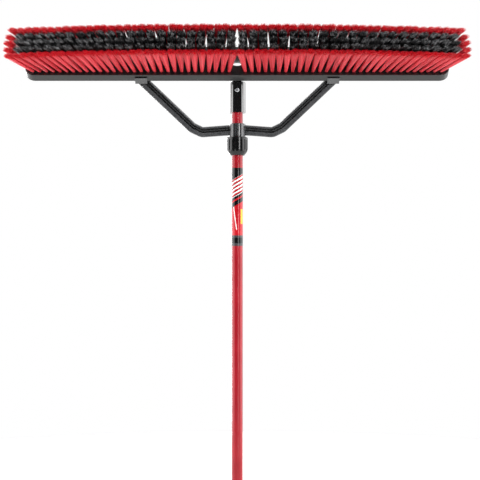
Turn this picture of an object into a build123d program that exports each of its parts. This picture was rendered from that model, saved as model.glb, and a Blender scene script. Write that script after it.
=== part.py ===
from build123d import *
import math
import os

# Push broom, 36 in wide, with a two-armed brace clamped to its steel handle. All lengths in mm.
# Frame: +Z runs up the handle's axis to the head, X runs along the head, and the bristles point
# up and towards -Y. The origin is the centre of the flat end of the handle's cap.

# ---- Overall sizes --------------------------------------------------------------------------
handle_length = 1524.0        # end of the cap to the top of the tube (60 in)
head_angle = 37.5             # angle between the handle and the plane of the block
block_length = 914.0          # 36 in
block_width = 90.0
block_thickness = 17.5
block_corner_radius = 22.0
block_edge_radius = 1.0
block_hole_radius = 16.0      # round hole through the middle of the block

# ---- Tufts ----------------------------------------------------------------------------------
row_offset = 16.5             # from one row of holes to the next, across the block
row_splay = 1.23              # how much further apart the rows are at the tips
tuft_radius = 3.3             # bundle at the face of the block
tuft_trim = 63.5              # from the block's face to the cut tips
tuft_hole_depth = 12.0
tuft_fit = 0.05               # radial room of a bundle in its hole
outer_first = 17.5            # first tuft of the two outer rows, from the middle of the block
middle_first = 21.0           # first tuft of the three middle rows
tuft_end_margin = 13.0        # last tuft of the middle row, from the end of the block
row_end_inset = 1.3           # how much shorter the next row is at each end, growing as its square
outer_spacing = 14.5          # wanted distance between the tufts of an outer row
middle_spacing = 19.2         # the same, in a middle row
outer_tip_radius = 7.0
middle_tip_radius = 8.5
fan_pole = 93.0               # tufts here stand square, those outside fan out and inside fan in
fan_rate = 0.132              # sideways travel of a tip for each mm away from there
crown_drop = 11.4             # how much lower the tips are at the end of the head
staple_length = 7.8           # flat wire driven across the root of each bundle
staple_width = 1.8
staple_thickness = 0.5
staple_rise = 1.6             # from the bottom of the hole to the wire

# ---- Handle ---------------------------------------------------------------------------------
tube_radius = 12.0
tube_wall = 0.9
cap_height = 42.0
cap_step = 0.15               # how far the cap lies inside the outline of the tube
cap_end_radius = 3.5
cap_spigot_length = 34.0
crimp_height = 20.0           # rolled groove that holds the cap, above the end of the tube
crimp_width = 3.0
crimp_depth = 0.6
cap_spigot_chamfer = 1.5
cap_scoop_depth = 6.0         # each of the two scooped sides at the hanging hole
cap_scoop_round = 2.7
cap_flat_bottom = 9.0
cap_flat_top = 33.0
hang_hole_radius = 4.5
hang_hole_height = 21.0
label_length = 170.0
label_gap_below_nut = 27.5
label_film = 0.12
label_gap = 0.02
insert_fit = 0.05             # radial room of a plug or spigot in the tube

# ---- Socket on the block --------------------------------------------------------------------
socket_seat = 38.0            # end of the tube to the block, along the handle
socket_top = 33.5             # top of the sleeve, below the block along the handle
socket_bottom = 101.0
socket_wall = 6.0             # round sides of the sleeve, outside the tube
socket_flat_wall = 3.3        # its front and back flats, outside the tube
socket_round = 3.0
socket_fit = 0.06             # radial room of the tube in the sleeve
flange_end_margin = 11.0      # from the screws to the ends of the flange
flange_side_margin = 7.25     # from the screws to its sides
flange_thickness = 4.0
flange_corner = 10.0
neck_back = 2.0               # how far the neck reaches past the axis, along the block
neck_overlap = 2.0            # the neck runs this far into the sleeve
gusset_thickness = 4.0
gusset_height = 17.0
gusset_reach = 29.0
plug_length = 42.0
plug_recess = 3.0
plug_chamfer = 1.0
lock_screw_below = 15.0       # lock screw, below the end of the tube
lock_screw_radius = 2.4
lock_thread_bite = 0.3        # how deep its thread cuts into the plug
lock_hole_extra = 1.0         # hole in the plug beyond the tip of the screw
lock_screw_depth = 14.0       # from the flat to the tip of the screw
lock_head_radius = 4.5
lock_head_height = 2.4
lock_head_round = 1.0

# ---- Wood screws and washers ----------------------------------------------------------------
screw_radius = 2.1
screw_pilot_radius = 1.7
screw_clearance = 0.4         # radial room in the piece that a screw holds down
screw_grip = 13.0             # length in the block
screw_head_radius = 4.2
screw_head_height = 2.6
screw_head_round = 1.5
screw_tip_length = 1.9
screw_tip_cut = 1.3
pilot_extra = 0.5             # pilot hole beyond the tip of the screw
cross_width = 1.1
cross_margin = 1.8            # from the end of the cross to the rim of the head
cross_depth = 1.3
washer_radius = 5.2
washer_thickness = 1.0
washer_room = 0.5
driver_room = 15.0            # kept free above the washers
flange_screw_room = 7.0       # from the side of the sleeve to the screws in the flange

# ---- Brace ----------------------------------------------------------------------------------
hub_wall = 6.0                # outside the tube
hub_top = 125.0               # below the block along the handle
hub_length = 29.5
hub_arm_below = 13.5          # middle of the arms, below the top of the hub
arm_root = 3.0                # the arms run this far into the hub
hub_room = 0.3                # radial room round the tube
hub_chamfer = 1.2
hub_rib_count = 5
hub_rib_width = 1.6
hub_rib_height = 1.2
hub_rib_step = 13.0           # degrees
arm_width = 22.0
arm_depth = 14.0
arm_edge_radius = 2.0
arm_groove_low = -1.5         # the groove's two sides, from the middle line of the arm
arm_groove_high = 7.0
arm_groove_depth = 5.0
arm_rib_width = 1.6           # rib that runs along the floor of the groove
arm_rib_height = 2.2
outer_bend_x = 98.0
outer_bend_rise = 5.5         # above the middle of the arms at the hub
inner_bend_x = 77.0
inner_bend_fall = 4.5         # below it
bend_inside_radius = 4.0      # on the hollow side of every bend
foot_x = 207.0
foot_width = 26.0
foot_end_margin = 6.25        # from the inner screw to the end of the foot
foot_thickness = 5.0
foot_lip = 3.0
foot_lip_reach = 11.0         # how far the lip covers the edge of the block
foot_inset = 6.0              # arm's middle line, inside the edge of the block
foot_rise = 8.0               # arm's middle line, above the block
foot_fall = 0.5               # lower end of the foot, below that line
arm_start_inset = 4.4         # upper end of the arm's middle line, outside the middle of the foot
arm_start_rise = 9.0          # and above it

# ---- Clamp ----------------------------------------------------------------------------------
spigot_wall = 4.2             # from its bore to the crest of the thread
spigot_length = 22.0
thread_room = 0.35
thread_pitch = 3.0
cone_length = 8.0
cone_lip = 1.1                # left round the mouth of the cone
cone_throat_room = 0.3        # at the other end of the cone, outside the bore
nut_wall = 6.15               # from its chamber to the outside
nut_length = 39.2
nut_end_wall = 2.7            # at the lower end, outside the hole
nut_corner_height = 9.75      # where the side turns in, above the lower end
nut_round = 16.0
nut_chamfer = 1.0
nut_floor = 8.0
nut_hole_room = 0.6
nut_gap = 0.3                 # under the hub, when the nut is tight
grip_count = 16
grip_width = 5.2
grip_height = 27.0
grip_depth = 1.7
grip_top = 5.0
collet_gap = 0.3              # between the collet, the tube and the nut
cone_gap = 0.4
collet_cone = 5.0
collet_room = 1.05            # radial room in the nut's chamber
collet_slit = 3.0

# ---- Derived places -------------------------------------------------------------------------
tilt = math.radians(head_angle)
head_z = handle_length + socket_seat
tube_top = handle_length
tube_bore = tube_radius - tube_wall
near_edge = block_width / 2
last_tuft = block_length / 2 - tuft_end_margin
tufts_reach = last_tuft - fan_pole
flange_screw_offset = 1.5 * row_offset      # half way between two rows of tuft holes
foot_screw_offsets = (1.5 * row_offset, 0.5 * row_offset)
foot_length = near_edge + foot_lip - foot_screw_offsets[-1] + foot_end_margin
socket_radius = tube_radius + socket_wall
socket_flat = tube_radius + socket_flat_wall
flange_screw_x = socket_radius + flange_screw_room
flange_length = 2 * (flange_screw_x + flange_end_margin)
flange_width = 2 * (flange_screw_offset + flange_side_margin)
lock_screw_drop = socket_seat + lock_screw_below
hub_radius = tube_radius + hub_wall
hub_bottom = hub_top + hub_length
hub_arm_drop = hub_top + hub_arm_below
hub_bore = tube_radius + hub_room
spigot_radius = hub_bore + spigot_wall
spigot_end = hub_bottom + spigot_length
cone_mouth_radius = spigot_radius - cone_lip
cone_throat_radius = hub_bore + cone_throat_room
nut_chamber_radius = spigot_radius + thread_room
nut_hole_radius = tube_radius + nut_hole_room
nut_radius = nut_chamber_radius + nut_wall
nut_end_radius = nut_hole_radius + nut_end_wall
nut_top = hub_bottom + nut_gap
nut_bottom = nut_top + nut_length
nut_seat = nut_bottom - nut_floor
collet_radius = nut_chamber_radius - collet_room
label_top = nut_bottom + label_gap_below_nut
head_plane = Plane(
    origin=(0, 0, head_z),
    x_dir=(1, 0, 0),
    z_dir=(0, -math.cos(tilt), math.sin(tilt)),
)


def on_head(shape):
    """Place a shape drawn on the block: x along it, y away from the user, z towards the bristles."""
    return head_plane.location * shape


def down_handle(drop):
    """Height of a point on the handle's axis that lies this far below the block."""
    return head_z - drop


def ring(outer, inner, top, bottom):
    """Ring or tube about the handle's axis."""
    height = top - bottom
    middle = Pos(0, 0, (top + bottom) / 2)
    return middle * (Cylinder(outer, height) - Cylinder(inner, height))


def rod(radius, top, bottom):
    """Solid round bar about the handle's axis."""
    return Pos(0, 0, (top + bottom) / 2) * Cylinder(radius, top - bottom)


def as_group(solids):
    """Keep identical pieces together as separate solids."""
    return Compound(children=list(solids))


# ---- Tufts ----------------------------------------------------------------------------------
def tuft_places(first, spacing, row):
    """Even positions along one row, whose end follows the rounded corners of the block."""
    last = last_tuft - row_end_inset * row**2
    gaps = round((last - first) / spacing)
    pitch = (last - first) / gaps
    right = [first + pitch * step for step in range(gaps + 1)]
    return [-x for x in reversed(right)] + right


def tip_place(x):
    """Where the tip of a tuft ends up along the block."""
    side = math.copysign(1, x)
    return x + side * fan_rate * (abs(x) - fan_pole)


def tip_height(x):
    """Height of the cut tips above the block, lower towards the two ends."""
    outward = max(0.0, abs(x) - fan_pole) / tufts_reach
    return block_thickness + tuft_trim - crown_drop * outward**2


def tuft(x, row, tip_radius):
    """One bundle: a straight root in its hole, and a slanting cone that spreads to the tips."""
    y = row * row_offset
    root = tuft_radius - tuft_fit
    sections = [
        Pos(x, y, block_thickness - tuft_hole_depth + tuft_fit) * Circle(root),
        Pos(x, y, block_thickness) * Circle(root),
        Pos(tip_place(x), y * row_splay, tip_height(x)) * Circle(tip_radius),
    ]
    return loft(sections, ruled=True)


def tuft_group(places, row, tip_radius):
    return on_head(as_group(tuft(x, row, tip_radius) for x in places))


near_row, far_row = -2, 2
middle_rows = {"near": -1, "centre": 0, "far": 1}
row_places = {row: tuft_places(outer_first, outer_spacing, row) for row in (near_row, far_row)}
for row in middle_rows.values():
    row_places[row] = tuft_places(middle_first, middle_spacing, row)
hole_places = [(x, row) for row, places in row_places.items() for x in places]

tufts_red_near_row = tuft_group(row_places[near_row], near_row, outer_tip_radius)
tufts_red_far_row = tuft_group(row_places[far_row], far_row, outer_tip_radius)
tufts_black = {
    name: tuft_group(row_places[row][1:-1], row, middle_tip_radius)
    for name, row in middle_rows.items()
}


def end_tufts(end):
    """The three red tufts that close the middle rows at one end of the block."""
    rows = middle_rows.values()
    return on_head(as_group(tuft(row_places[row][end], row, middle_tip_radius) for row in rows))


tufts_red_left_end = end_tufts(0)
tufts_red_right_end = end_tufts(-1)

staple_height = block_thickness - tuft_hole_depth + staple_rise
staple = Box(staple_length, staple_thickness, staple_width)
tuft_staples = on_head(
    as_group(Pos(x, row * row_offset, staple_height) * staple for x, row in hole_places)
)


# ---- Screws ---------------------------------------------------------------------------------
def cross_recess():
    """Cross for the driver, sunk from z = 0."""
    span = 2 * (screw_head_radius - cross_margin)
    bar = Box(span, cross_width, cross_depth, align=(Align.CENTER, Align.CENTER, Align.MAX))
    return bar + Rot(0, 0, 90) * bar


def screw(seat):
    """Pan-head screw along +z, whose head rests seat below the block's face."""
    head = Cylinder(
        screw_head_radius, screw_head_height, align=(Align.CENTER, Align.CENTER, Align.MIN)
    )
    head = fillet(head.edges().sort_by(Axis.Z)[0], screw_head_round)
    head -= Rot(180, 0, 0) * cross_recess()
    shank_length = seat + screw_grip
    shank = Cylinder(screw_radius, shank_length, align=(Align.CENTER, Align.CENTER, Align.MIN))
    shank = chamfer(shank.edges().sort_by(Axis.Z)[-1], screw_tip_length, screw_tip_cut)
    return Pos(0, 0, -seat - screw_head_height) * head + Pos(0, 0, -seat) * shank


def screw_hole(x, y, radius, top, bottom):
    return Pos(x, y, (top + bottom) / 2) * Cylinder(radius, abs(top - bottom))


flange_screw_places = [
    (x, y)
    for x in (-flange_screw_x, flange_screw_x)
    for y in (-flange_screw_offset, flange_screw_offset)
]
foot_screw_places = [(side * foot_x, -y) for side in (-1, 1) for y in foot_screw_offsets]
socket_screws = on_head(
    as_group(Pos(x, y, 0) * screw(flange_thickness) for x, y in flange_screw_places)
)
washer_seat = foot_thickness + washer_thickness
brace_screws = on_head(as_group(Pos(x, y, 0) * screw(washer_seat) for x, y in foot_screw_places))
washer = Cylinder(washer_radius, washer_thickness) - Cylinder(
    screw_radius + screw_clearance, washer_thickness
)
brace_washers = on_head(
    as_group(
        Pos(x, y, -foot_thickness - washer_thickness / 2) * washer for x, y in foot_screw_places
    )
)


# ---- Block ----------------------------------------------------------------------------------
def make_block():
    outline = RectangleRounded(block_length, block_width, block_corner_radius)
    body = extrude(outline, block_thickness)
    rims = body.faces().sort_by(Axis.Z)
    body = fillet(rims[0].edges() + rims[-1].edges(), block_edge_radius)
    hole = Cylinder(
        tuft_radius, tuft_hole_depth, align=(Align.CENTER, Align.CENTER, Align.MAX)
    )
    holes = [Pos(x, row * row_offset, block_thickness) * hole for x, row in hole_places]
    holes += [
        screw_hole(x, y, screw_pilot_radius, 0, screw_grip + pilot_extra)
        for x, y in flange_screw_places + foot_screw_places
    ]
    holes.append(screw_hole(0, 0, block_hole_radius, 0, block_thickness))
    return on_head(body.cut(*holes))


block = make_block()


# ---- Handle ---------------------------------------------------------------------------------
def lock_bore(radius, front, back):
    """Round hole along Y at the height of the lock screw."""
    place = Pos(0, (front + back) / 2, down_handle(lock_screw_drop))
    return place * Rot(90, 0, 0) * Cylinder(radius, back - front)


crimp_low = cap_height + crimp_height
crimp_high = crimp_low + crimp_width
handle_tube = ring(tube_radius, tube_bore, tube_top, cap_height)
handle_tube -= ring(tube_radius, tube_radius - crimp_depth, crimp_high, crimp_low)
handle_tube += ring(tube_bore, tube_bore - crimp_depth, crimp_high, crimp_low)
handle_tube -= lock_bore(lock_screw_radius + screw_clearance, -tube_radius, 0)

plug_radius = tube_bore - insert_fit
tube_plug = rod(plug_radius, tube_top - plug_recess, tube_top - plug_recess - plug_length)
tube_plug = chamfer(tube_plug.edges().group_by(Axis.Z)[0], plug_chamfer)
lock_tip = -socket_flat + lock_screw_depth
tube_plug -= lock_bore(
    lock_screw_radius - lock_thread_bite, -tube_radius, lock_tip + lock_hole_extra
)


def make_lock_screw():
    """Bright pan-head screw through the flat of the sleeve into the plug in the tube."""
    head = Cylinder(lock_head_radius, lock_head_height)
    head = fillet(head.edges().sort_by(Axis.Z)[-1], lock_head_round)
    head -= Pos(0, 0, lock_head_height / 2) * cross_recess()
    shank = Cylinder(
        lock_screw_radius, lock_screw_depth, align=(Align.CENTER, Align.CENTER, Align.MAX)
    )
    turned = Rot(90, 0, 0) * (Pos(0, 0, lock_head_height / 2) * head + shank)
    return Pos(0, -socket_flat, down_handle(lock_screw_drop)) * turned


handle_lock_screw = make_lock_screw()

label_inner = tube_radius + label_gap
label_start = down_handle(label_top)
handle_label = ring(label_inner + label_film, label_inner, label_start, label_start - label_length)


def make_end_cap():
    """Moulded cap: flat end, two scooped sides with the hanging hole, and a ribbed spigot."""
    body = rod(tube_radius - cap_step, cap_height, 0)
    body = fillet(body.edges().group_by(Axis.Z)[0], cap_end_radius)
    flat_height = cap_flat_top - cap_flat_bottom
    scoop = Box(2 * tube_radius, cap_scoop_depth, flat_height)
    scoop = fillet(scoop.edges().filter_by(Axis.X), cap_scoop_round)
    flat_middle = (cap_flat_top + cap_flat_bottom) / 2
    for side in (-1, 1):
        body -= Pos(0, side * (tube_radius - cap_scoop_depth / 2), flat_middle) * scoop
    body -= Pos(0, 0, hang_hole_height) * Rot(90, 0, 0) * Cylinder(
        hang_hole_radius, 2 * tube_radius
    )
    spigot_reach = tube_bore - insert_fit
    spigot = rod(spigot_reach, cap_height + cap_spigot_length, cap_height)
    spigot = chamfer(spigot.edges().group_by(Axis.Z)[-1], cap_spigot_chamfer)
    spigot -= ring(spigot_reach, spigot_reach - crimp_depth, crimp_high, crimp_low)
    return body + spigot


end_cap = make_end_cap()


# ---- Socket ---------------------------------------------------------------------------------
def make_socket():
    sleeve = rod(socket_radius, down_handle(socket_top), down_handle(socket_bottom))
    flats = Box(2 * socket_radius, 2 * socket_flat, 2 * socket_bottom)
    sleeve &= Pos(0, 0, down_handle(socket_bottom)) * flats
    shoulder = sleeve.edges().group_by(Axis.Z)[-1].filter_by(GeomType.CIRCLE)
    sleeve = fillet(shoulder, socket_round)

    slope = 1 / math.tan(tilt)
    inside = socket_top + socket_round + neck_overlap
    back_y = neck_back * math.sin(tilt)
    profile = [
        (-socket_flat, down_handle(inside)),
        (-socket_flat, head_z - socket_flat * slope),
        (back_y, head_z + back_y * slope),
        (socket_flat, down_handle(socket_top)),
        (socket_flat, down_handle(inside)),
    ]
    neck_half = math.sqrt(socket_radius**2 - socket_flat**2)
    neck_face = Plane.YZ * make_face(Polyline(*profile, close=True))
    neck = extrude(neck_face, neck_half, both=True)

    plate = extrude(RectangleRounded(flange_length, flange_width, flange_corner), -flange_thickness)
    rib_outline = Polyline(
        (0, 0), (gusset_reach, 0), (gusset_reach, -flange_thickness), (0, -gusset_height), close=True
    )
    rib = extrude(Plane.XZ * make_face(rib_outline), gusset_thickness / 2, both=True)
    for turn in (0, 180):
        plate += Pos(0, -flange_screw_offset / 2, 0) * Rot(0, 0, turn) * rib
    plate -= screw_hole(0, 0, block_hole_radius, -flange_thickness - gusset_height, 0)
    for x, y in flange_screw_places:
        plate -= screw_hole(x, y, screw_radius + screw_clearance, -flange_thickness, 0)

    socket = sleeve + neck + on_head(plate)
    socket -= rod(tube_radius + socket_fit, tube_top, down_handle(socket_bottom))
    return socket - lock_bore(lock_screw_radius + screw_clearance, -socket_radius, 0)


handle_socket = make_socket()


# ---- Brace ----------------------------------------------------------------------------------
foot_y = -(near_edge - foot_inset) * math.sin(tilt) + foot_rise * math.cos(tilt)
foot_drop = (near_edge - foot_inset) * math.cos(tilt) + foot_rise * math.sin(tilt)
arm_run = Vector(0, -foot_y, -(hub_arm_drop - foot_drop))
arm_plane = Plane(
    origin=(0, foot_y, down_handle(foot_drop)),
    x_dir=(1, 0, 0),
    z_dir=Vector(1, 0, 0).cross(-arm_run.normalized()),
)


def along_arm(drop):
    """Distance down the plane of the arms for a given drop below the block."""
    return -(drop - foot_drop) * arm_run.length / (hub_arm_drop - foot_drop)


arm_line = [
    (foot_x + arm_start_inset, arm_start_rise),
    (outer_bend_x, along_arm(hub_arm_drop - outer_bend_rise)),
    (inner_bend_x, along_arm(hub_arm_drop + inner_bend_fall)),
    (hub_radius - arm_root, along_arm(hub_arm_drop)),
]
bend_radius = bend_inside_radius + arm_width / 2


def beside(points, side):
    """The same bent line, moved sideways."""
    places = [Vector(*point) for point in points]
    runs = [(b - a).normalized() for a, b in zip(places, places[1:])]
    moved = []
    for number, place in enumerate(places):
        before = runs[max(number - 1, 0)]
        after = runs[min(number, len(runs) - 1)]
        across = (before + after).normalized()
        normal = Vector(across.Y, -across.X)
        moved.append(place + normal * (side / across.dot(before)))
    return moved


def turn_side(points, corner):
    """+1 where the line turns to its left at this corner, -1 where it turns to its right."""
    before = Vector(*points[corner]) - Vector(*points[corner - 1])
    after = Vector(*points[corner + 1]) - Vector(*points[corner])
    return math.copysign(1, before.cross(after).Z)


def strip(points, low, high):
    """Flat face between two lines that run beside a bent line, with concentric bends."""
    edges = []
    ends = []
    for side in (low, high):
        corners = range(1, len(points) - 1)
        radii = [bend_radius + side * turn_side(points, corner) for corner in corners]
        line = beside(points, side)
        edges.append(FilletPolyline(*line, radius=radii))
        ends.append((line[0], line[-1]))
    edges += [Line(ends[0][end], ends[1][end]) for end in (0, 1)]
    return make_face(edges)


def make_arm():
    """One arm towards +X: a moulded channel, grooved on both faces, with its foot."""
    half = arm_depth / 2
    outline = strip(arm_line, -arm_width / 2, arm_width / 2)
    bar = extrude(outline, half, both=True)
    faces = bar.faces().sort_by(Axis.Z)
    bar = fillet(faces[0].edges() + faces[-1].edges(), arm_edge_radius)
    rib_middle = (arm_groove_low + arm_groove_high) / 2
    groove = strip(arm_line, arm_groove_low, arm_groove_high)
    groove -= strip(arm_line, rib_middle - arm_rib_width / 2, rib_middle + arm_rib_width / 2)
    floor_groove = strip(arm_line, arm_groove_low, arm_groove_high)
    for face in (-1, 1):
        outside = Pos(0, 0, face * half)
        bar -= outside * extrude(groove, -face * arm_groove_depth)
        bar -= outside * extrude(floor_groove, -face * (arm_groove_depth - arm_rib_height))
    heel_middle = (foot_rise - foot_fall) / 2
    heel = Pos(foot_x, heel_middle, 0) * Box(foot_width, foot_rise + foot_fall, arm_depth)
    heel = fillet(heel.edges().filter_by(Axis.Y), arm_edge_radius)
    return arm_plane * (bar + heel)


def make_foot():
    """Pad under the arm that laps over the edge of the block."""
    middle = -near_edge - foot_lip + foot_length / 2
    pad = Pos(foot_x, middle, -foot_thickness / 2) * Box(foot_width, foot_length, foot_thickness)
    lip_height = foot_thickness + foot_lip_reach
    lip_middle = (foot_lip_reach - foot_thickness) / 2
    lip = Pos(foot_x, -near_edge - foot_lip / 2, lip_middle) * Box(foot_width, foot_lip, lip_height)
    return pad + lip


def make_brace():
    arm = make_arm() + on_head(make_foot())
    arm -= on_head(Pos(0, 0, block_thickness / 2) * Box(block_length, block_width, block_thickness))
    for x, y in foot_screw_places:
        arm -= on_head(screw_hole(x, y, screw_radius + screw_clearance, -foot_thickness, 0))
        arm -= on_head(
            screw_hole(x, y, washer_radius + washer_room, -foot_thickness - driver_room, -foot_thickness)
        )
    hub = rod(hub_radius, down_handle(hub_top), down_handle(hub_bottom))
    hub = chamfer(hub.edges().group_by(Axis.Z)[-1], hub_chamfer)
    hub += rod(spigot_radius, down_handle(hub_bottom), down_handle(spigot_end))
    brace = hub + arm + arm.mirror(Plane.YZ)
    rib_length = hub_bottom - hub_top - 2 * hub_chamfer
    rib = Box(hub_rib_width, 2 * (hub_radius + hub_rib_height), rib_length)
    rib_middle = down_handle((hub_bottom + hub_top) / 2)
    for step in range(hub_rib_count):
        turn = (step - (hub_rib_count - 1) / 2) * hub_rib_step
        brace += Pos(0, 0, rib_middle) * Rot(0, 0, turn) * rib
    brace -= rod(hub_bore, down_handle(hub_top), down_handle(spigot_end))
    mouth = Plane.XY.offset(down_handle(spigot_end))
    throat = Plane.XY.offset(down_handle(spigot_end - cone_length))
    return brace - loft([mouth * Circle(cone_mouth_radius), throat * Circle(cone_throat_radius)])


brace = make_brace()


# ---- Clamp nut and split collet -------------------------------------------------------------
def make_nut():
    """Hand nut: rounded lower end, and grip recesses with arched tops all the way round."""
    top, bottom = down_handle(nut_top), down_handle(nut_bottom)
    outline = [
        (0, top),
        (nut_radius, top),
        (nut_radius, bottom + nut_corner_height),
        (nut_end_radius, bottom),
        (0, bottom),
    ]
    face = Plane.XZ * make_face(Polyline(*outline, close=True))
    body = revolve(face, Axis.Z)
    rims = body.edges().filter_by(GeomType.CIRCLE)
    corner = rims.group_by(SortBy.RADIUS)[-1].sort_by(Axis.Z)[0]
    body = fillet(corner, nut_round)
    body = chamfer(body.edges().group_by(Axis.Z)[-1], nut_chamfer)
    recess_bottom = nut_top + grip_top + grip_height
    slot = Pos(0, 0, nut_radius) * extrude(
        SlotOverall(grip_height, grip_width, rotation=90), grip_depth, both=True
    )
    height = down_handle(recess_bottom - grip_height / 2)
    for step in range(grip_count):
        body -= Pos(0, 0, height) * Rot(0, 0, step * 360 / grip_count) * Rot(90, 0, 0) * slot
    body -= rod(nut_chamber_radius, top, down_handle(nut_seat))
    return body - rod(nut_hole_radius, down_handle(nut_seat), bottom)


def make_collet():
    """Split ring with a coned top that the nut drives into the mouth of the spigot."""
    cone_rate = (cone_mouth_radius - cone_throat_radius) / cone_length
    base = down_handle(nut_seat - collet_gap)
    shoulder = down_handle(spigot_end)
    tip = shoulder + collet_cone
    inner = tube_radius + collet_gap
    wide = cone_mouth_radius - cone_gap
    outline = [
        (inner, base),
        (collet_radius, base),
        (collet_radius, shoulder - cone_gap),
        (wide, shoulder - cone_gap),
        (wide, shoulder),
        (wide - cone_rate * collet_cone, tip),
        (inner, tip),
    ]
    body = revolve(Plane.XZ * make_face(Polyline(*outline, close=True)), Axis.Z)
    slit = Box(collet_slit, 2 * collet_radius, 2 * (tip - base))
    return body - Pos(0, collet_radius, (base + tip) / 2) * slit


clamp_nut = make_nut()
grip_collet = make_collet()

# ---- Files ----------------------------------------------------------------------------------
nodes = {
    "block": block,
    "tufts_red_near_row": tufts_red_near_row,
    "tufts_red_far_row": tufts_red_far_row,
    "tufts_red_left_end": tufts_red_left_end,
    "tufts_red_right_end": tufts_red_right_end,
    "tufts_black_near": tufts_black["near"],
    "tufts_black_centre": tufts_black["centre"],
    "tufts_black_far": tufts_black["far"],
    "tuft_staples": tuft_staples,
    "handle_socket": handle_socket,
    "socket_screws": socket_screws,
    "handle_tube": handle_tube,
    "tube_plug": tube_plug,
    "handle_lock_screw": handle_lock_screw,
    "handle_label": handle_label,
    "end_cap": end_cap,
    "brace": brace,
    "brace_screws": brace_screws,
    "brace_washers": brace_washers,
    "grip_collet": grip_collet,
    "clamp_nut": clamp_nut,
}

os.makedirs("parts", exist_ok=True)
for name, shape in nodes.items():
    export_step(shape, f"parts/{name}.step")
    print(name, "volume", round(shape.volume, 1), "valid", shape.is_valid)
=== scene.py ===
# %% [markdown]
# # A push broom with a braced steel handle
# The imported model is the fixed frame: every size and place below comes from it. The script first
# sets up the view and the light, then the finishes, then the pieces that the frame only holds a
# place for, such as the tufts, which are solid cones there and bundles of filament here.

# %% Load the frame
import bmesh
import bpy
import math
import random
from mathutils import Matrix, Vector


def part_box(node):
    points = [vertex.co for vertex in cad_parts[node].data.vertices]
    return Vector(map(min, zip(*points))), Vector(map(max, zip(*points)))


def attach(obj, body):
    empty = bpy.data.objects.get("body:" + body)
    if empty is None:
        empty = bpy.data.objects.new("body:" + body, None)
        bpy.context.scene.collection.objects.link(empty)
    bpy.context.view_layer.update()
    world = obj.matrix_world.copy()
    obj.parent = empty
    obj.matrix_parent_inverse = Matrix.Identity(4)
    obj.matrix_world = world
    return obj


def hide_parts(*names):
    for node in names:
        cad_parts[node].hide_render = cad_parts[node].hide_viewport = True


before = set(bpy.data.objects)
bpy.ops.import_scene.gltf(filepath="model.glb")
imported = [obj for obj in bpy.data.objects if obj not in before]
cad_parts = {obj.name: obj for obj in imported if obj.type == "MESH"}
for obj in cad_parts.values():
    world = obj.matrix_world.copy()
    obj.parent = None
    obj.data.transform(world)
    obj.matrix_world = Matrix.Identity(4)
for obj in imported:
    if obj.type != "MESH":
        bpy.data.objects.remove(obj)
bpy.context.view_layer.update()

# %% [markdown]
# ## Places
# The handle's axis is the Z axis. The head is a flat block that leans over the handle, so most of
# its detail is easier to draw in the block's own directions: along it, across it towards the user,
# and out of it towards the tips. The three directions are found here once.

# %% Places on the handle and on the block
MM = 0.001
HEAD_ANGLE = math.radians(37.5)
SOCKET_SEAT = 38 * MM
tube_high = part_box("handle_tube")[1]
tube_radius = tube_high.x
head_point = Vector((0, 0, tube_high.z + SOCKET_SEAT))
to_user = Vector((0, -math.sin(HEAD_ANGLE), -math.cos(HEAD_ANGLE)))
to_tips = Vector((0, -math.cos(HEAD_ANGLE), math.sin(HEAD_ANGLE)))
along = Vector((1, 0, 0))
head_turn = Matrix((along, -to_user, to_tips)).transposed().to_4x4()
on_head = Matrix.Translation(head_point) @ head_turn
print("block meets the handle at", [round(v, 4) for v in head_point])

# %% [markdown]
# ## View and light
# The camera stands a little over two metres away, so the near tufts look slightly larger than the
# far ones and the rows of tips fan out.
# Glossy black plastic only shows what it mirrors, so the light is built as a ring of soft boxes in
# the world: tall ones at both sides draw the bright flanks of the socket, a narrow one in front
# draws the line down the tube, and the space behind the camera stays dark, which keeps the flat
# faces black. Lamps could do the same, but boxes in the world are equally bright on every piece,
# however far along the handle it is.

# %% Camera
CAMERA_DISTANCE = 2.2
VIEW_WIDTH = 1.049            # metres across the picture at the handle
VIEW_DROP = 0.3786            # middle of the picture, below the block
camera_data = bpy.data.cameras.new("camera")
camera_data.sensor_width = 36
camera_data.lens = camera_data.sensor_width * CAMERA_DISTANCE / VIEW_WIDTH
camera = bpy.data.objects.new("camera", camera_data)
camera.location = (0.006, -CAMERA_DISTANCE, head_point.z - VIEW_DROP)
camera.rotation_euler = (math.pi / 2, 0, 0)
bpy.context.collection.objects.link(camera)
bpy.context.scene.camera = camera
print("lens", round(camera_data.lens, 1), "mm")


# %% Colours, and one helper for the nodes of a material
def linear(code):
    """sRGB hex colour to the linear values that a shader takes."""
    values = [int(code[i:i + 2], 16) / 255 for i in (1, 3, 5)]
    low = [v / 12.92 for v in values]
    high = [((v + 0.055) / 1.055) ** 2.4 for v in values]
    picked = [a if v <= 0.04045 else b for v, a, b in zip(values, low, high)]
    return (*picked, 1.0)


def node(tree, kind, inputs=(), **settings):
    """Add a node, with its settings and its inputs: a value, or another node's output."""
    made = tree.nodes.new(kind)
    for name, value in settings.items():
        setattr(made, name, value)
    for name, value in dict(inputs).items():
        if isinstance(value, bpy.types.NodeSocket):
            tree.links.new(value, made.inputs[name])
        else:
            made.inputs[name].default_value = value
    return made


# %% Soft boxes in the world, by direction
world = bpy.data.worlds.new("studio")
bpy.context.scene.world = world
world.use_nodes = True
sky = world.node_tree
sky.nodes.clear()

direction = node(sky, "ShaderNodeTexCoord").outputs["Generated"]
sight = node(sky, "ShaderNodeSeparateXYZ", {"Vector": direction})
frontward = node(sky, "ShaderNodeMath", {
    0: sight.outputs["Y"], 1: -1.0,
}, operation="MULTIPLY").outputs[0]
bearing = node(sky, "ShaderNodeMath", {
    0: sight.outputs["X"], 1: frontward,
}, operation="ARCTAN2").outputs[0]
elevation = node(sky, "ShaderNodeMath", {0: sight.outputs["Z"]}, operation="ARCSINE").outputs[0]


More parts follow.
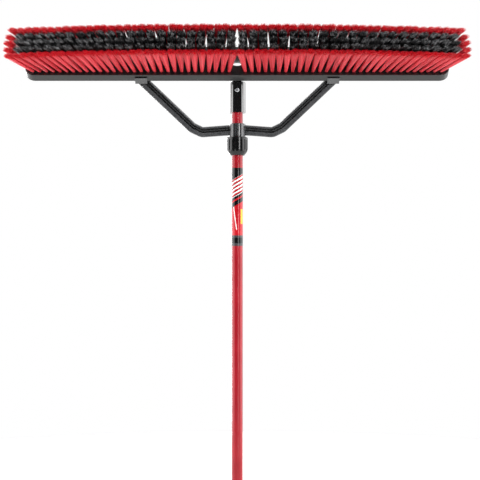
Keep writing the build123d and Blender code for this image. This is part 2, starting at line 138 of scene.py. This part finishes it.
def within(angle, middle, half, soft):
    """1 inside a span of directions and 0 outside it, with a soft edge. Degrees."""
    offset = node(sky, "ShaderNodeMath", {
        0: angle, 1: math.radians(middle),
    }, operation="SUBTRACT").outputs[0]
    away = node(sky, "ShaderNodeMath", {0: offset}, operation="ABSOLUTE").outputs[0]
    return node(sky, "ShaderNodeMapRange", {
        "Value": away, "From Min": math.radians(half + soft), "From Max": math.radians(half),
    }, interpolation_type="SMOOTHSTEP").outputs[0]


def soft_box(turn, half_width, rise, half_height, strength, soft=6):
    """Glow of one box: its bearing from the front, its elevation, and half its size. Degrees."""
    across = within(bearing, turn, half_width, soft)
    upward = within(elevation, rise, half_height, soft)
    shape = node(sky, "ShaderNodeMath", {0: across, 1: upward}, operation="MULTIPLY").outputs[0]
    return node(sky, "ShaderNodeMath", {0: shape, 1: strength}, operation="MULTIPLY").outputs[0]


SIDE_GLOW, LINE_GLOW, TOP_GLOW, BACK_GLOW, FRONT_GLOW = 3.0, 13.0, 2.0, 0.8, 0.05
DARK_HALF_WIDTH, DARK_EDGE = 58, 10          # the dark space in front, in degrees
dark_front = within(bearing, 0, DARK_HALF_WIDTH, DARK_EDGE)
glow = node(sky, "ShaderNodeMath", {
    0: dark_front, 1: FRONT_GLOW - BACK_GLOW, 2: BACK_GLOW,
}, operation="MULTIPLY_ADD").outputs[0]
for box in (
    soft_box(-93, 33, 5, 42, SIDE_GLOW),
    soft_box(93, 33, 5, 42, SIDE_GLOW),
    soft_box(25, 3, 0, 40, LINE_GLOW, soft=2),
    soft_box(-155, 4, 0, 40, LINE_GLOW, soft=2),
    soft_box(0, 60, 48, 14, TOP_GLOW),
):
    glow = node(sky, "ShaderNodeMath", {0: glow, 1: box}, operation="ADD").outputs[0]

lit = node(sky, "ShaderNodeBackground", {"Color": (1, 1, 1, 1), "Strength": glow})
seen = node(sky, "ShaderNodeBackground", {"Color": (1, 1, 1, 1), "Strength": 1.0})
ray = node(sky, "ShaderNodeLightPath")
blend = node(sky, "ShaderNodeMixShader", {0: ray.outputs["Is Camera Ray"]})
sky.links.new(lit.outputs[0], blend.inputs[1])
sky.links.new(seen.outputs[0], blend.inputs[2])
node(sky, "ShaderNodeOutputWorld", {"Surface": blend.outputs[0]})
bpy.context.scene.view_settings.view_transform = "Standard"
print("glow of the side boxes:", SIDE_GLOW, "and of the front line:", LINE_GLOW)

# %% [markdown]
# ## Finishes
# Every finish starts from a Principled shader. What makes it look like a made surface is small
# change across it: moulded plastic has a fine skin texture and patches that are a little duller,
# paint has a faint ripple, and filaments differ from one to the next. Noise on Object coordinates
# gives all of these, because it stays on the piece when the piece moves.


# %% A finish with patches, a fine skin and a shader
def finish(name, color, rough, **shader):
    """New material: returns it with its tree, shader and object coordinates."""
    material = bpy.data.materials.new(name)
    material.use_nodes = True
    tree = material.node_tree
    tree.nodes.clear()
    inputs = {"Base Color": linear(color), "Roughness": rough, **shader}
    surface = node(tree, "ShaderNodeBsdfPrincipled", inputs)
    node(tree, "ShaderNodeOutputMaterial", {"Surface": surface.outputs[0]})
    place = node(tree, "ShaderNodeTexCoord").outputs["Object"]
    return material, tree, surface, place


def patches(tree, place, size_mm, low, high, detail=3.0):
    """Soft patches of about one size, as a value between low and high."""
    noise = node(tree, "ShaderNodeTexNoise", {
        "Vector": place, "Scale": 1000 / size_mm, "Detail": detail,
    })
    return node(tree, "ShaderNodeMapRange", {
        "Value": noise.outputs["Fac"], "From Min": 0.3, "From Max": 0.7,
        "To Min": low, "To Max": high,
    }).outputs[0]


def tint(tree, amount, dark, light):
    """Colour between two hex colours, by an amount from 0 to 1."""
    mix = node(tree, "ShaderNodeMix", {"Factor": amount}, data_type="RGBA")
    mix.inputs[6].default_value = linear(dark)
    mix.inputs[7].default_value = linear(light)
    return mix.outputs[2]


def relief(tree, surface, height, depth_mm, strength=0.5):
    """Bump of a real depth on the shader."""
    bump = node(tree, "ShaderNodeBump", {
        "Height": height, "Distance": depth_mm * MM, "Strength": strength,
    })
    tree.links.new(bump.outputs[0], surface.inputs["Normal"])


GROOVE_REACH = 6 * MM


def moulded(name, dark, light, rough, grain_mm, grain_depth_mm, groove_shade_colour=None, **shader):
    """Moulded plastic: two close shades in patches, uneven gloss, and a fine skin texture.

    With a groove colour, grooves narrower than about twice the reach get it as painted shade.
    """
    material, tree, surface, place = finish(name, dark, rough, **shader)
    shade = patches(tree, place, 22, 0, 1)
    skin = tint(tree, shade, dark, light)
    if groove_shade_colour:
        # Painted shade: where ambient occlusion finds a groove, the base colour goes to the groove
        # colour.
        openness = node(tree, "ShaderNodeAmbientOcclusion", {"Distance": GROOVE_REACH}, samples=8)
        open_face = node(tree, "ShaderNodeMapRange", {
            "Value": openness.outputs["AO"], "From Min": 0.55, "From Max": 0.98,
        })
        mix = node(tree, "ShaderNodeMix", {"Factor": open_face.outputs[0], 7: skin}, data_type="RGBA")
        mix.inputs[6].default_value = linear(groove_shade_colour)
        skin = mix.outputs[2]
    tree.links.new(skin, surface.inputs["Base Color"])
    gloss = patches(tree, place, 9, rough * 0.85, rough * 1.2)
    tree.links.new(gloss, surface.inputs["Roughness"])
    grain = node(tree, "ShaderNodeTexNoise", {
        "Vector": place, "Scale": 1000 / grain_mm, "Detail": 4.0,
    }).outputs["Fac"]
    relief(tree, surface, grain, grain_depth_mm)
    return material


# %% [markdown]
# ### Black plastics
# The block is foamed polypropylene, whose skin is satin and slightly uneven. The socket is black ABS
# from a polished mould, so it mirrors the soft boxes. The nut is the same plastic from a duller
# mould, and the brace is nylon with glass fibre, with a satin face. Grooves in both are darkened,
# because little light comes back out of them.

# %% Plastics of the block, socket, brace, nut, collet, plug and cap
block_plastic = moulded(
    "foamed_polypropylene_satin_black", "#0b0c0d", "#131415", 0.34, 1.2, 0.05, **{"Coat Weight": 0.3},
)
socket_plastic = moulded(
    "abs_polished_black", "#050506", "#080809", 0.1, 2.5, 0.008,
    **{"Specular IOR Level": 0.9, "Coat Weight": 1.0, "Coat Roughness": 0.05, "Coat IOR": 1.6},
)
# The brace and the nut take a near-black groove colour, painted shade in their grooves.
brace_plastic = moulded(
    "glass_filled_nylon_black", "#343537", "#424345", 0.24, 1.0, 0.02, groove_shade_colour="#030303",
    **{"Coat Weight": 0.6, "Coat Roughness": 0.12},
)
nut_plastic = moulded(
    "abs_ribbed_nut_black", "#0a0a0b", "#111112", 0.2, 1.5, 0.01, groove_shade_colour="#020202",
    **{"Specular IOR Level": 0.3, "Coat Weight": 0.2, "Coat Roughness": 0.08},
)
collet_plastic = moulded("acetal_collet_grey", "#77797a", "#8b8d8e", 0.4, 1.0, 0.01)
plug_plastic = moulded("nylon_plug_black", "#18191a", "#222324", 0.5, 1.0, 0.02)
cap_plastic = moulded("polyethylene_cap_black", "#121213", "#1c1c1e", 0.45, 1.0, 0.03)

# %% [markdown]
# ### Steel
# The screws are zinc plated, bright with a faint blue cast. The staples are drawn wire. A metal's
# colour is its reflection, so only roughness and a fine streak are added.


# %% Plated screws, washers and staples
def plated(name, color, rough, streak_mm):
    """Plated or drawn steel with fine uneven gloss."""
    material, tree, surface, place = finish(name, color, rough, Metallic=1.0)
    gloss = patches(tree, place, streak_mm, rough * 0.7, rough * 1.4)
    tree.links.new(gloss, surface.inputs["Roughness"])
    relief(tree, surface, gloss, 0.01, 0.3)
    return material


screw_steel = plated("zinc_plated_steel", "#d4d6da", 0.25, 1.2)
staple_steel = plated("drawn_steel_wire", "#a9abaf", 0.35, 0.6)

# %% [markdown]
# ### Painted tube
# The tube is steel with a red powder coat. Powder flows out almost flat and leaves a faint ripple,
# called orange peel, that breaks up the edges of the reflections.

# %% Red powder coat
handle_paint, paint_tree, paint, paint_place = finish(
    "powder_coat_red", "#b0202b", 0.2, **{"Specular IOR Level": 0.3}
)
paint_shade = patches(paint_tree, paint_place, 40, 0, 1)
paint_red = tint(paint_tree, paint_shade, "#8a141e", "#981a25")
paint_tree.links.new(paint_red, paint.inputs["Base Color"])
ripple = node(paint_tree, "ShaderNodeTexNoise", {"Vector": paint_place, "Scale": 350.0})
relief(paint_tree, paint, ripple.outputs["Fac"], 0.02, 0.4)
print("finishes so far:", len(bpy.data.materials))

# %% [markdown]
# ### Printed film
# The film round the tube is printed in black, white, red and yellow. The print is drawn with plain
# bars and blocks: one coordinate runs down the film and the other round the tube, and each shape is
# a test on the two. A picture file could hold the same print, but bars worked out from the two
# coordinates stay sharp at any size.

# %% Coordinates on the film: down from its top, and round the tube, both in millimetres
label_low, label_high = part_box("handle_label")
film, film_tree, film_surface, film_place = finish(
    "printed_vinyl_film", "#8f0f18", 0.18, **{"Specular IOR Level": 0.35}
)
axes = node(film_tree, "ShaderNodeSeparateXYZ", {"Vector": film_place})
down_metres = node(film_tree, "ShaderNodeMath", {
    0: label_high.z, 1: axes.outputs["Z"],
}, operation="SUBTRACT").outputs[0]
down = node(film_tree, "ShaderNodeMath", {0: down_metres, 1: 1 / MM}, operation="MULTIPLY").outputs[0]
outward = node(film_tree, "ShaderNodeMath", {
    0: axes.outputs["Y"], 1: -1.0,
}, operation="MULTIPLY").outputs[0]
turned = node(film_tree, "ShaderNodeMath", {
    0: axes.outputs["X"], 1: outward,
}, operation="ARCTAN2").outputs[0]
around = node(film_tree, "ShaderNodeMath", {
    0: turned, 1: tube_radius / MM,
}, operation="MULTIPLY").outputs[0]


def band(value, low, high):
    """1 where the value lies between two limits."""
    return node(film_tree, "ShaderNodeMath", {
        0: value, 1: (low + high) / 2, 2: (high - low) / 2,
    }, operation="COMPARE").outputs[0]


def both(first, second):
    """1 where two masks are both 1."""
    return node(film_tree, "ShaderNodeMath", {0: first, 1: second}, operation="MULTIPLY").outputs[0]


def sloped(slope):
    """Distance down the film, shifted by a slope for each millimetre round the tube."""
    return node(film_tree, "ShaderNodeMath", {
        0: around, 1: slope, 2: down,
    }, operation="MULTIPLY_ADD").outputs[0]


def printed(below, mask, ink):
    """Lay one ink over the colours below, where the mask is 1."""
    mix = node(film_tree, "ShaderNodeMix", {"Factor": mask, 6: below}, data_type="RGBA")
    mix.inputs[7].default_value = linear(ink)
    return mix.outputs[2]


# %% The bars, blocks and bands of the print
INK_BLACK, INK_WHITE, INK_RED = "#0b0b0c", "#e9e6e4", "#c21722"
INK_YELLOW, INK_GREY = "#cfa814", "#3c3d40"
BAR_SLOPE, BAR_PITCH, STRIPE_SLOPE = 0.55, 8.4, -6.85
slant = sloped(BAR_SLOPE)
steep = sloped(STRIPE_SLOPE)
bars = both(band(around, -17, 15), band(slant, 20, 60))
bar_count = node(film_tree, "ShaderNodeMath", {0: slant, 1: BAR_PITCH}, operation="DIVIDE").outputs[0]
bar_phase = node(film_tree, "ShaderNodeMath", {0: bar_count}, operation="FRACT").outputs[0]
white_bars = both(bars, band(bar_phase, 0.0, 0.42))
red_bars = both(bars, band(bar_phase, 0.52, 0.82))
stripe = both(band(steep, 137, 151), band(down, 85, 135))
patch = both(band(around, 8, 16), band(down, 90, 122))
layers = tint(film_tree, patches(film_tree, film_place, 30, 0, 1), "#a5141e", "#b51b26")
for mask, ink in (
    (band(down, 0, 14), INK_BLACK),
    (band(slant, 0, 66), INK_BLACK),
    (white_bars, INK_WHITE),
    (red_bars, INK_RED),
    (band(slant, 70, 80), INK_BLACK),
    (stripe, INK_WHITE),
    (patch, INK_YELLOW),
    (band(down, 147, 171), INK_GREY),
    (band(down, 152, 164), INK_BLACK),
):
    layers = printed(layers, mask, ink)
film_tree.links.new(layers, film_surface.inputs["Base Color"])
relief(film_tree, film_surface, patches(film_tree, film_place, 6, 0, 1), 0.02, 0.3)
print("film", round((label_high.z - label_low.z) / MM), "mm long")

# %% [markdown]
# ### Filaments
# A tuft is a bundle of extruded polypropylene filaments, each smooth along its length and a little
# lighter or darker than its neighbours. The red ones let some light through. The shade is stored on
# the mesh as an attribute, one value for each filament. A second attribute says how far along it a
# point is, because the cut ends are painted in other inks than the sides: painted shade, a deeper
# red, on the red tips, and painted glints, pale grey flecks, on the black tips.


# %% Red and black filament
def filament(name, side_inks, tip_shade_and_glint_inks, contrast, rough, glow):
    """Extruded filament: each strand has its own shade; its cut tip takes other inks, as painted
    light.
    """
    material, tree, surface, _ = finish(name, side_inks[0], rough, **{
        "Subsurface Weight": glow, "Subsurface Scale": 0.002, "Subsurface Radius": (1.0, 0.3, 0.3),
    })
    shade = node(tree, "ShaderNodeAttribute", attribute_name="strand_shade").outputs["Fac"]
    height = node(tree, "ShaderNodeAttribute", attribute_name="strand_height").outputs["Fac"]
    bright = node(tree, "ShaderNodeMapRange", {
        "Value": shade, "From Min": contrast, "From Max": 1.0,
    }).outputs[0]
    # Painted light on the cut tips: a deeper red as painted shade, pale grey flecks as painted
    # glints.
    near_tip = node(tree, "ShaderNodeMapRange", {
        "Value": height, "From Min": 0.86, "From Max": 0.97,
    }).outputs[0]
    mix = node(tree, "ShaderNodeMix", {
        "Factor": near_tip, 6: tint(tree, bright, *side_inks), 7: tint(tree, bright, *tip_shade_and_glint_inks),
    }, data_type="RGBA")
    tree.links.new(mix.outputs[2], surface.inputs["Base Color"])
    return material


# The second pair of inks is painted light on the tips: painted shade on the red, painted glints on
# the black.
red_filament = filament(
    "polypropylene_filament_red", ("#a80a1c", "#fb5560"), ("#a00612", "#e01626"), 0.0, 0.3, 0.12,
)
black_filament = filament(
    "polypropylene_filament_black", ("#040405", "#242426"), ("#060607", "#b4b4b6"), 0.5, 0.34, 0.0,
)

# %% [markdown]
# ## Tufts
# In the frame a tuft is one slanted cone. The real one is a bundle of filaments, folded over a
# staple in the hole and cut off level. Hair curves could draw them, but a filament seen from the
# side has to be a real surface in the exported mesh, so each is a thin three-sided rod. A bundle is
# packed too tight to see through, so its rods stand round and on a fluted core, which stops light
# just as the inner filaments do. Rod and core are made with bmesh operators, joined into a few
# different bundles, and the bundles are then copied to every hole and sheared to each tuft's lean.

# %% Sizes of the tufts, in millimetres, as the block is drilled
ROW_OFFSET, ROW_SPLAY = 16.5, 1.23
BLOCK_THICKNESS, TUFT_TRIM, CROWN_DROP = 17.5, 63.5, 11.4
FAN_POLE, FAN_RATE, LAST_TUFT, ROW_END_INSET = 93.0, 0.132, 444.0, 1.3
ROOT_RADIUS, ROOT_SINK = 2.95, 3.0
STRAND_RADIUS, STRAND_TAPER, STRAND_CUTS = 0.4, 0.85, 2
SPREAD_LINEAR, SPREAD_CURVED = 0.82, 0.18
CORE_SIDES, CORE_TOP, CORE_FILL, CORE_FLUTE = 16, 0.94, 0.9, 0.07
VARIANTS = 7
random.seed(11)


def hole_places(first, count, row):
    """Holes along one row, on both sides of the middle."""
    pitch = (LAST_TUFT - ROW_END_INSET * row ** 2 - first) / (count - 1)
    right = [first + pitch * step for step in range(count)]
    return [-x for x in reversed(right)] + right


def tip_of(x):
    return x + math.copysign(1, x) * FAN_RATE * (abs(x) - FAN_POLE)


def trim_at(x):
    outward = max(0.0, abs(x) - FAN_POLE) / (LAST_TUFT - FAN_POLE)
    return TUFT_TRIM - CROWN_DROP * outward ** 2


near_row, far_row = -2, 2
middle_rows = {"near": -1, "centre": 0, "far": 1}
row_holes = {row: hole_places(17.5, 30, row) for row in (near_row, far_row)}
for row in middle_rows.values():
    row_holes[row] = hole_places(21.0, 23, row)
print("tufts:", sum(len(holes) for holes in row_holes.values()))


# %% One filament: a three-sided rod, one unit long
def make_strand():
    """Thin rod from z = 0 to z = 1, divided along its length so that it can bend."""
    bm = bmesh.new()
    bmesh.ops.create_cone(
        bm, cap_ends=True, segments=3, radius1=STRAND_RADIUS, radius2=STRAND_RADIUS * STRAND_TAPER,
        depth=1, matrix=Matrix.Translation((0, 0, 0.5)),
    )
    sides = [e for e in bm.edges if abs(e.verts[0].co.z - e.verts[1].co.z) > 0.5]
    bmesh.ops.subdivide_edges(bm, edges=sides, cuts=STRAND_CUTS)
    mesh = bpy.data.meshes.new("strand")
    bm.to_mesh(mesh)
    bm.free()
    return mesh


strand = make_strand()
print("one filament has", len(strand.polygons), "faces")


# %% The core of a bundle, and how a bundle spreads from its root to its tips
def spread_at(share):
    return share * (SPREAD_LINEAR + SPREAD_CURVED * share)


def make_core():
    """Fluted prism from z = 0 to z = 1 with a radius of one unit and a middle point on its top."""
    bm = bmesh.new()
    bmesh.ops.create_cone(
        bm, cap_ends=True, segments=CORE_SIDES, radius1=1, radius2=1, depth=1,
        matrix=Matrix.Translation((0, 0, 0.5)),
    )
    for vert in bm.verts:
        turn = math.atan2(vert.co.y, vert.co.x) / math.tau * CORE_SIDES
        flute = 1 - CORE_FLUTE * (round(turn) % 2)
        vert.co.xy *= flute
    top = [f for f in bm.faces if f.normal.z > 0.5]
    bmesh.ops.poke(bm, faces=top)
    sides = [e for e in bm.edges if abs(e.verts[0].co.z - e.verts[1].co.z) > 0.5]
    bmesh.ops.subdivide_edges(bm, edges=sides, cuts=1)
    mesh = bpy.data.meshes.new("core")
    bm.to_mesh(mesh)
    bm.free()
    return mesh


core = make_core()
print("a core has", len(core.polygons), "faces")


# %% A bundle: the core, and the filaments round and on it
def make_bundle(name, strands, tip_x, tip_y, clumps, frizz, uneven):
    """Upright bundle: x and y in millimetres, z from 0 at the block to 1 at the tips."""
    bm = bmesh.new()
    bm.from_mesh(core)
    shade = bm.verts.layers.float.new("strand_shade")
    height = bm.verts.layers.float.new("strand_height")
    for vert in bm.verts:
        share = vert.co.z
        spread = spread_at(share)
        wide_x = ROOT_RADIUS + (tip_x * CORE_FILL - ROOT_RADIUS) * spread
        wide_y = ROOT_RADIUS + (tip_y * CORE_FILL - ROOT_RADIUS) * spread
        rough = random.uniform(-uneven, uneven) / TUFT_TRIM * share
        vert.co = (vert.co.x * wide_x, vert.co.y * wide_y, share * CORE_TOP + rough)
        vert[shade] = random.uniform(0.0, 0.5)
        vert[height] = share
    tones = [random.random() for _ in range(clumps)]
    pulls = [Vector((random.uniform(-1, 1), random.uniform(-1, 1))) * frizz for _ in range(clumps)]
    for number in range(strands):
        turn = number * math.pi * (3 - math.sqrt(5))
        out = math.sqrt((number + 0.5) / strands)
        clump = int((turn % math.tau) / math.tau * clumps) % clumps
        tone = 0.5 * tones[clump] + 0.5 * random.random()
        root = Vector((math.cos(turn), math.sin(turn))) * out * ROOT_RADIUS
        reach = out * random.uniform(0.9, 1.06)
        tip = Vector((math.cos(turn) * tip_x, math.sin(turn) * tip_y)) * reach + pulls[clump]
        top = 1 + random.uniform(-uneven, uneven) / TUFT_TRIM
        twist = Matrix.Rotation(random.uniform(0, math.tau), 4, "Z")
        bend = [Vector((random.gauss(0, frizz), random.gauss(0, frizz))) * 0.3 for _ in range(4)]
        start = len(bm.verts)
        bm.from_mesh(strand)
        bm.verts.ensure_lookup_table()
        shade = bm.verts.layers.float["strand_shade"]
        height = bm.verts.layers.float["strand_height"]
        for vert in bm.verts[start:]:
            share = vert.co.z
            wave = bend[round(share * (STRAND_CUTS + 1))] * share
            middle = root.lerp(tip, spread_at(share)) + wave
            around_rod = twist @ Vector((vert.co.x, vert.co.y, 0))
            sink = ROOT_SINK / TUFT_TRIM
            vert.co = (middle.x + around_rod.x, middle.y + around_rod.y, share * (top + sink) - sink)
            vert[shade] = tone
            vert[height] = share
    mesh = bpy.data.meshes.new(name)
    bm.to_mesh(mesh)
    bm.free()
    return mesh


def bundles(name, **how):
    return [make_bundle(f"{name}_{number}", **how) for number in range(VARIANTS)]


red_bundles = bundles("red", strands=125, tip_x=9.8, tip_y=7.6, clumps=6, frizz=0.4, uneven=1.0)
end_bundles = bundles("end", strands=120, tip_x=8.8, tip_y=8.2, clumps=7, frizz=0.6, uneven=1.4)
black_bundles = bundles(
    "black", strands=140, tip_x=10.0, tip_y=7.6, clumps=8, frizz=0.8, uneven=1.8,
)
print("faces in a bundle:", len(red_bundles[0].polygons), len(black_bundles[0].polygons))


# %% Bundles in every hole of a row
def tuft_row(name, holes, variants, material, replaced):
    """One piece of many tufts, each sheared to its own lean. A hole is (x, row)."""
    bm = bmesh.new()
    for x, row in holes:
        y = row * ROW_OFFSET
        lean_x = tip_of(x) - x + random.gauss(0, 0.7)
        lean_y = y * (ROW_SPLAY - 1) + random.gauss(0, 0.5)
        trim = trim_at(x) + random.uniform(-0.6, 0.6)
        shear = Matrix((
            (1, 0, lean_x, x), (0, 1, lean_y, y), (0, 0, trim, BLOCK_THICKNESS), (0, 0, 0, 1),
        ))
        spin = Matrix.Rotation(random.choice((0, math.pi)), 4, "Z")
        start = len(bm.verts)
        bm.from_mesh(random.choice(variants))
        bm.verts.ensure_lookup_table()
        bmesh.ops.transform(bm, matrix=shear @ spin, verts=bm.verts[start:])
    bmesh.ops.transform(bm, matrix=on_head @ Matrix.Scale(MM, 4), verts=bm.verts)
    mesh = bpy.data.meshes.new(name)
    bm.to_mesh(mesh)
    bm.free()
    mesh.materials.append(material)
    piece = bpy.data.objects.new(name, mesh)
    bpy.context.collection.objects.link(piece)
    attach(piece, "root")
    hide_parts(replaced)
    print(name, len(mesh.polygons), "faces")


for word, row in (("near", near_row), ("far", far_row)):
    tuft_row(
        f"red_filaments_{word}_row", [(x, row) for x in row_holes[row]], red_bundles,
        red_filament, f"tufts_red_{word}_row",
    )
for word, row in middle_rows.items():
    tuft_row(
        f"black_filaments_{word}", [(x, row) for x in row_holes[row][1:-1]], black_bundles,
        black_filament, f"tufts_black_{word}",
    )
for word, end in (("left", 0), ("right", -1)):
    tuft_row(
        f"red_filaments_{word}_end", [(row_holes[row][end], row) for row in middle_rows.values()],
        end_bundles, red_filament, f"tufts_red_{word}_end",
    )

# %% [markdown]
# ## Finishes on the frame's own pieces
# The pieces whose shape is right in the frame stay as they are and only take a finish.

# %% Materials of the frame's nodes
finishes = {
    block_plastic: ["block"],
    socket_plastic: ["handle_socket"],
    brace_plastic: ["brace"],
    nut_plastic: ["clamp_nut"],
    collet_plastic: ["grip_collet"],
    plug_plastic: ["tube_plug"],
    cap_plastic: ["end_cap"],
    screw_steel: ["socket_screws", "handle_lock_screw", "brace_screws", "brace_washers"],
    staple_steel: ["tuft_staples"],
    handle_paint: ["handle_tube"],
    film: ["handle_label"],
}
for material, names in finishes.items():
    for name in names:
        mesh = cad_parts[name].data
        mesh.materials.clear()
        mesh.materials.append(material)
print("frame nodes finished:", sum(len(names) for names in finishes.values()))

# %% [markdown]
# ## Floor
# A pale matt floor under the end of the handle. It is staging, not part of the broom, and it is
# wide, so that its edge stays far from the broom in every view.

# %% Floor
FLOOR_RADIUS = 4
bm = bmesh.new()
bmesh.ops.create_circle(bm, cap_ends=True, segments=96, radius=FLOOR_RADIUS)
floor_mesh = bpy.data.meshes.new("floor")
bm.to_mesh(floor_mesh)
bm.free()
floor = bpy.data.objects.new("floor", floor_mesh)
bpy.context.collection.objects.link(floor)
floor_paint, floor_tree, floor_surface, floor_place = finish("matt_floor_paint", "#e4e4e2", 0.8)
floor_shade = patches(floor_tree, floor_place, 700, 0, 1)
floor_tone = tint(floor_tree, floor_shade, "#e2e2e0", "#e8e8e6")
floor_tree.links.new(floor_tone, floor_surface.inputs["Base Color"])
floor_mesh.materials.append(floor_paint)
